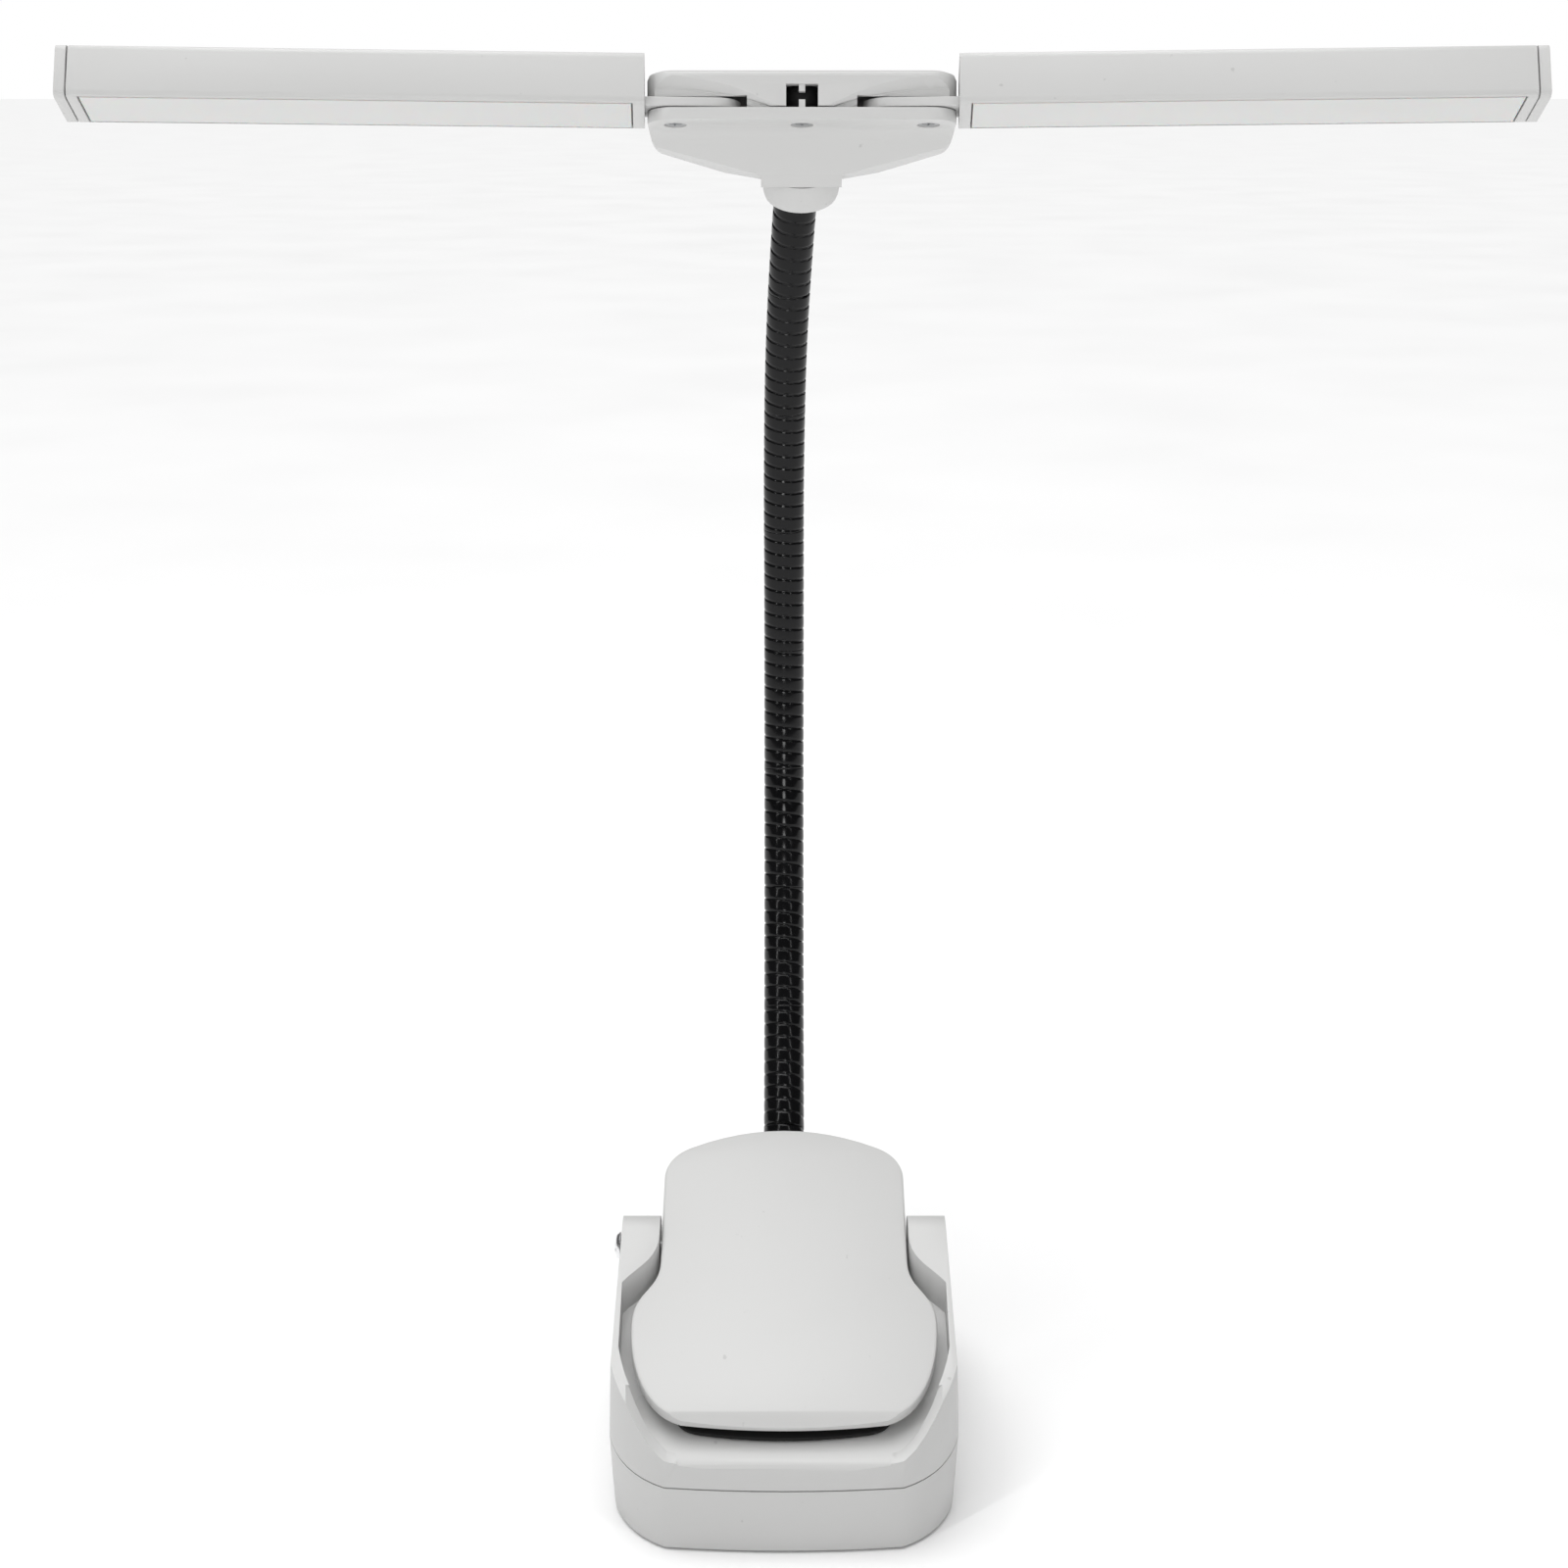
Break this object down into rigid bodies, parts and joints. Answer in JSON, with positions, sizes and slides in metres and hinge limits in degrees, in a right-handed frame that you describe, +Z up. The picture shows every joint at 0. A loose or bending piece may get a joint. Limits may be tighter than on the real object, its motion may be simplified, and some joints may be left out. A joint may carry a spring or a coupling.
{
  "type": "clip-on reading lamp",
  "caption": "Battery reading lamp with a sprung clip base, a black gooseneck and two slim light bars that swing on a hub.",
  "frame": {"origin": "middle of the rest pad's underside, where the lamp stands on a table", "axes": "+X to the right along the light bars, +Y to the back away from the jaw's lip, +Z up"},
  "size_m": [0.2784, 0.1284, 0.2722],
  "materials": {
    "light_grey_plastic": "fine satin",
    "black_rubber": "matt",
    "black_gooseneck": "glossy, ribbed",
    "steel": "plain",
    "bright_screw": "polished",
    "battery_wrap": "foil wrapped",
    "circuit_board": "solder mask",
    "clear_light_pipe": "clear",
    "white_diffuser": "opal",
    "light_board": "white solder mask"
  },
  "bodies": {
    "base": {"base_bottom_shell": "light_grey_plastic", "base_top_shell": "light_grey_plastic", "rest_pad": "black_rubber", "lower_jaw_pad": "black_rubber", "battery_cell": "battery_wrap", "control_board": "circuit_board", "charging_socket": "steel", "power_switch": "steel", "brightness_switch": "steel", "charge_indicator": "clear_light_pipe", "case_screw_1": "steel", "case_screw_2": "steel", "case_screw_3": "steel", "case_screw_4": "steel", "pivot_screw": "bright_screw", "pivot_nut": "steel", "clip_spring": "steel", "neck_foot": "black_gooseneck"},
    "jaw": {"jaw_plate": "light_grey_plastic", "jaw_liner": "light_grey_plastic", "upper_jaw_pad": "black_rubber"},
    "power_key": {"power_button": "black_rubber"},
    "brightness_key": {"brightness_button": "black_rubber"},
    "neck_1": {"neck_link_1": "black_gooseneck"},
    "neck_2": {"neck_link_2": "black_gooseneck"},
    "neck_3": {"neck_link_3": "black_gooseneck"},
    "neck_4": {"neck_link_4": "black_gooseneck"},
    "neck_5": {"neck_link_5": "black_gooseneck"},
    "neck_6": {"neck_link_6": "black_gooseneck"},
    "neck_7": {"neck_link_7": "black_gooseneck"},
    "neck_8": {"neck_link_8": "black_gooseneck"},
    "hub": {"neck_head": "black_gooseneck", "hub_collar": "light_grey_plastic", "hub_lower_shell": "light_grey_plastic", "hub_upper_shell": "light_grey_plastic", "hub_screw_left": "steel", "hub_screw_middle": "steel", "hub_screw_right": "steel", "hinge_washer_left": "steel", "hinge_washer_right": "steel"},
    "bar_left": {"hinge_tongue_left": "light_grey_plastic", "bar_housing_left": "light_grey_plastic", "bar_end_cap_left": "light_grey_plastic", "bar_diffuser_left": "white_diffuser", "bar_light_board_left": "light_board"},
    "bar_right": {"hinge_tongue_right": "light_grey_plastic", "bar_housing_right": "light_grey_plastic", "bar_end_cap_right": "light_grey_plastic", "bar_diffuser_right": "white_diffuser", "bar_light_board_right": "light_board"}
  },
  "joints": [
    {"name": "jaw_hinge", "type": "hinge", "parent": "base", "child": "jaw", "pos_m": [0, 0.0064, 0.04], "axis": [-1, 0, 0], "range_deg": [0, 20], "stiffness_Nm_per_rad": 0.25, "springref_deg": -34.38},
    {"name": "power_press", "type": "slide", "parent": "base", "child": "power_key", "axis": [0, -1, 0], "range_m": [0, 0.0008], "stiffness_N_per_m": 400, "springref_m": -0.0003},
    {"name": "brightness_press", "type": "slide", "parent": "base", "child": "brightness_key", "axis": [0, -1, 0], "range_m": [0, 0.0008], "stiffness_N_per_m": 400, "springref_m": -0.0003},
    {"name": "neck_bend_1", "type": "hinge", "parent": "base", "child": "neck_1", "pos_m": [0, 0.03656, 0.03735], "axis": [1, 0, 0], "range_deg": [-18, 18]},
    {"name": "neck_sway_1", "type": "hinge", "parent": "neck_1", "child": "neck_2", "pos_m": [0, 0.05321, 0.05829], "axis": [0, 0.8268, -0.5625], "range_deg": [-18, 18]},
    {"name": "neck_bend_2", "type": "hinge", "parent": "neck_2", "child": "neck_3", "pos_m": [0, 0.06657, 0.08146], "axis": [1, 0, 0], "range_deg": [-18, 18]},
    {"name": "neck_sway_2", "type": "hinge", "parent": "neck_3", "child": "neck_4", "pos_m": [0, 0.07635, 0.10636], "axis": [0, 0.9554, -0.2953], "range_deg": [-18, 18]},
    {"name": "neck_bend_3", "type": "hinge", "parent": "neck_4", "child": "neck_5", "pos_m": [0, 0.08232, 0.13244], "axis": [1, 0, 0], "range_deg": [-18, 18]},
    {"name": "neck_sway_3", "type": "hinge", "parent": "neck_5", "child": "neck_6", "pos_m": [0, 0.08437, 0.15911], "axis": [0, 1, -0.0022], "range_deg": [-18, 18]},
    {"name": "neck_bend_4", "type": "hinge", "parent": "neck_6", "child": "neck_7", "pos_m": [0, 0.08244, 0.18579], "axis": [1, 0, 0], "range_deg": [-18, 18]},
    {"name": "neck_sway_4", "type": "hinge", "parent": "neck_7", "child": "neck_8", "pos_m": [0.00049, 0.07658, 0.21189], "axis": [0, 0.9567, 0.2912], "range_deg": [-18, 18]},
    {"name": "neck_bend_5", "type": "hinge", "parent": "neck_8", "child": "hub", "pos_m": [0.00183, 0.06691, 0.23683], "axis": [1, 0, 0], "range_deg": [-18, 18]},
    {"name": "bar_swing_left", "type": "hinge", "parent": "hub", "child": "bar_left", "pos_m": [-0.0207, 0.04403, 0.26108], "axis": [0, 0.2334, 0.9724], "range_deg": [-3, 87]},
    {"name": "bar_swing_right", "type": "hinge", "parent": "hub", "child": "bar_right", "pos_m": [0.0275, 0.04403, 0.26108], "axis": [0, -0.2334, -0.9724], "range_deg": [-3, 87]}
  ],
  "couplings": [
    {"joint": "neck_bend_2", "follows": "neck_bend_1", "ratio": 1},
    {"joint": "neck_bend_4", "follows": "neck_bend_3", "ratio": 1},
    {"joint": "neck_bend_5", "follows": "neck_bend_3", "ratio": 1},
    {"joint": "neck_sway_2", "follows": "neck_sway_1", "ratio": 1},
    {"joint": "neck_sway_4", "follows": "neck_sway_3", "ratio": 1}
  ]
}
